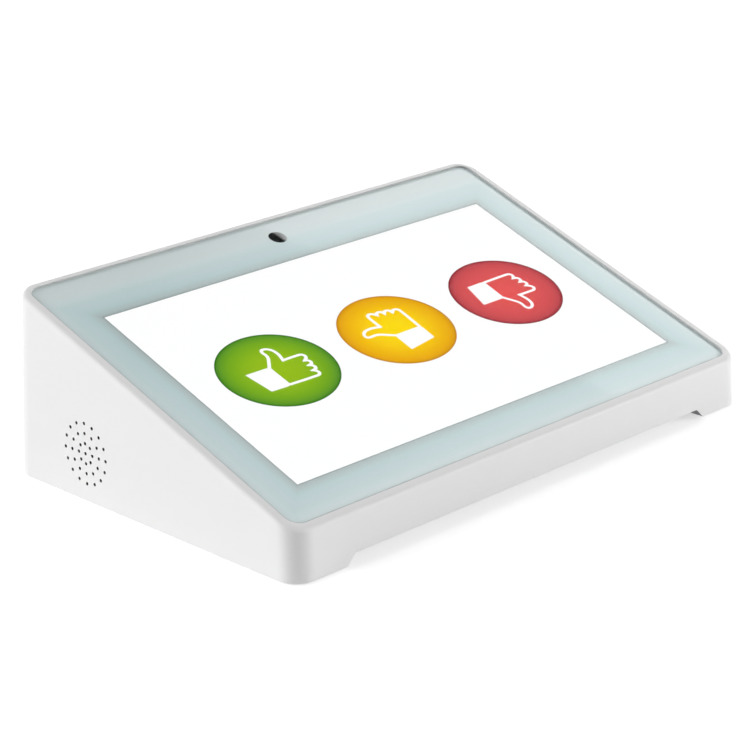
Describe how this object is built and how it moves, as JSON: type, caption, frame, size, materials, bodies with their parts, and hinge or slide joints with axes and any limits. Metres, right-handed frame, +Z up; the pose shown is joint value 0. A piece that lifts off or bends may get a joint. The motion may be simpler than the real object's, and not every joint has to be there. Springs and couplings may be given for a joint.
{
  "type": "customer feedback terminal",
  "caption": "Wedge-shaped tabletop feedback terminal: slanted touch display under flush glass, camera window, side speaker grilles, rear port plate and sprung keys.",
  "frame": {"origin": "middle of the footprint, on the surface the rubber feet stand on", "axes": "+Z up, +X to the user's right, +Y to the rear; the user stands at -Y"},
  "size_m": [0.2732, 0.1798, 0.0839],
  "materials": {
    "white_abs": "fine satin moulded ABS, white",
    "grey_abs": "fine satin moulded ABS, pale grey",
    "clear_glass": "polished toughened glass",
    "border_ink": "pale blue-grey screen print behind glass",
    "black_tape": "black acrylic foam tape",
    "clear_film": "clear conductive film",
    "lcd_glass": "display cell showing a white picture",
    "optical_sheet": "frosted optical sheet",
    "mirror_film": "specular reflector film",
    "plated_steel": "zinc-plated sheet steel",
    "screw_steel": "nickel-plated steel",
    "board_laminate": "green solder mask on glass-fibre laminate",
    "black_plastic": "black moulded plastic",
    "lens_glass": "coated camera lens",
    "speaker_paper": "coated paper cone",
    "magnet_steel": "nickel-plated magnet and yoke",
    "foam": "closed-cell foam",
    "rubber": "matt rubber",
    "ribbon_film": "amber polyimide flat lead",
    "lead_cover": "black insulated lead",
    "white_nylon": "white nylon connector shell",
    "sink_alloy": "extruded aluminium",
    "chip_resin": "black moulded resin",
    "thermal_silicone": "soft grey-blue silicone"
  },
  "bodies": {
    "casing": {"antenna_lead": "lead_cover", "antenna_strip": "board_laminate", "audio_socket": "black_plastic", "base_cover": "white_abs", "base_screws": "screw_steel", "board_plugs": "white_nylon", "board_screws": "screw_steel", "border_print": "border_ink", "camera_board": "board_laminate", "camera_body": "black_plastic", "camera_lens": "lens_glass", "camera_ribbon": "ribbon_film", "camera_ring": "black_plastic", "cover_glass": "clear_glass", "dc_inlet": "black_plastic", "diffuser_sheet": "optical_sheet", "display_board": "board_laminate", "display_frame": "black_plastic", "display_ribbon": "ribbon_film", "display_screws": "screw_steel", "display_straps": "plated_steel", "display_tray": "plated_steel", "glass_tape": "black_tape", "heat_sink": "sink_alloy", "housing": "white_abs", "key_board": "board_laminate", "key_switches": "black_plastic", "lcd_cell": "lcd_glass", "led_strip": "white_nylon", "light_guide": "clear_film", "main_board": "board_laminate", "network_socket": "black_plastic", "port_plate": "grey_abs", "port_screws": "screw_steel", "processor_chip": "chip_resin", "reflector_sheet": "mirror_film", "rubber_feet": "rubber", "speaker_basket_left": "black_plastic", "speaker_basket_right": "black_plastic", "speaker_cone_left": "speaker_paper", "speaker_cone_right": "speaker_paper", "speaker_gasket_left": "foam", "speaker_gasket_right": "foam", "speaker_lead_left": "lead_cover", "speaker_lead_right": "lead_cover", "speaker_magnet_left": "magnet_steel", "speaker_magnet_right": "magnet_steel", "speaker_screws": "screw_steel", "thermal_pad": "thermal_silicone", "touch_board": "board_laminate", "touch_ribbon": "ribbon_film", "touch_sensor": "clear_film", "usb_socket_1": "plated_steel", "usb_socket_2": "plated_steel"},
    "power_button": {"power_key": "white_abs", "power_plunger": "black_plastic"},
    "volume_up_button": {"volume_up_key": "white_abs", "volume_up_plunger": "black_plastic"},
    "volume_down_button": {"volume_down_key": "white_abs", "volume_down_plunger": "black_plastic"}
  },
  "joints": [
    {"name": "power_press", "type": "slide", "parent": "casing", "child": "power_button", "axis": [0, -0.9964, -0.0847], "range_m": [0, 0.0004], "stiffness_N_per_m": 400},
    {"name": "volume_up_press", "type": "slide", "parent": "casing", "child": "volume_up_button", "axis": [0, -0.9964, -0.0847], "range_m": [0, 0.0004], "stiffness_N_per_m": 400},
    {"name": "volume_down_press", "type": "slide", "parent": "casing", "child": "volume_down_button", "axis": [0, -0.9964, -0.0847], "range_m": [0, 0.0004], "stiffness_N_per_m": 400}
  ]
}
